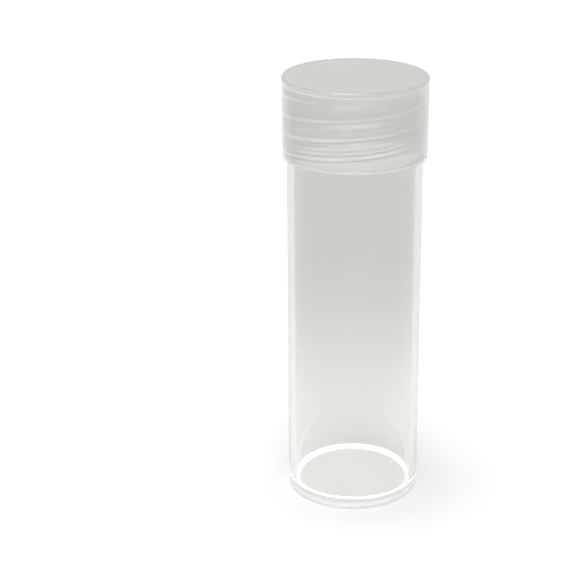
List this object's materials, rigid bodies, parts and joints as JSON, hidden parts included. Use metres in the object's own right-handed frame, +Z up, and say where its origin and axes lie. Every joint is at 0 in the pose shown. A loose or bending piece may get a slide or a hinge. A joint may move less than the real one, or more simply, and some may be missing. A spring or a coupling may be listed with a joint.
{
  "type": "coin tube",
  "caption": "Clear round tube that stores a stack of small coins, closed by a translucent screw cap with a loose sealing liner.",
  "frame": {"origin": "middle of the tube's foot, on the surface that it stands on", "axes": "+Z up along the tube's axis towards the cap; the tube is round, so X and Y are free"},
  "size_m": [0.0234, 0.0234, 0.071],
  "materials": {
    "clear_tube": "clear polished polystyrene",
    "translucent_cap": "satin natural polyethylene",
    "foam_liner": "matte closed-cell foam"
  },
  "bodies": {
    "tube": {"tube": "clear_tube"},
    "cap_liner": {"cap_liner": "foam_liner"},
    "cap": {"cap": "translucent_cap"}
  },
  "joints": [
    {"name": "cap_rise", "type": "slide", "parent": "tube", "child": "cap_liner", "axis": [0, 0, 1], "range_m": [0, 0.015]},
    {"name": "cap_turn", "type": "hinge", "parent": "cap_liner", "child": "cap", "pos_m": [0, 0, 0], "axis": [0, 0, 1], "range_deg": [0, 900]}
  ],
  "couplings": [
    {"joint": "cap_rise", "follows": "cap_turn", "m_per_rad": 0.0009549}
  ]
}
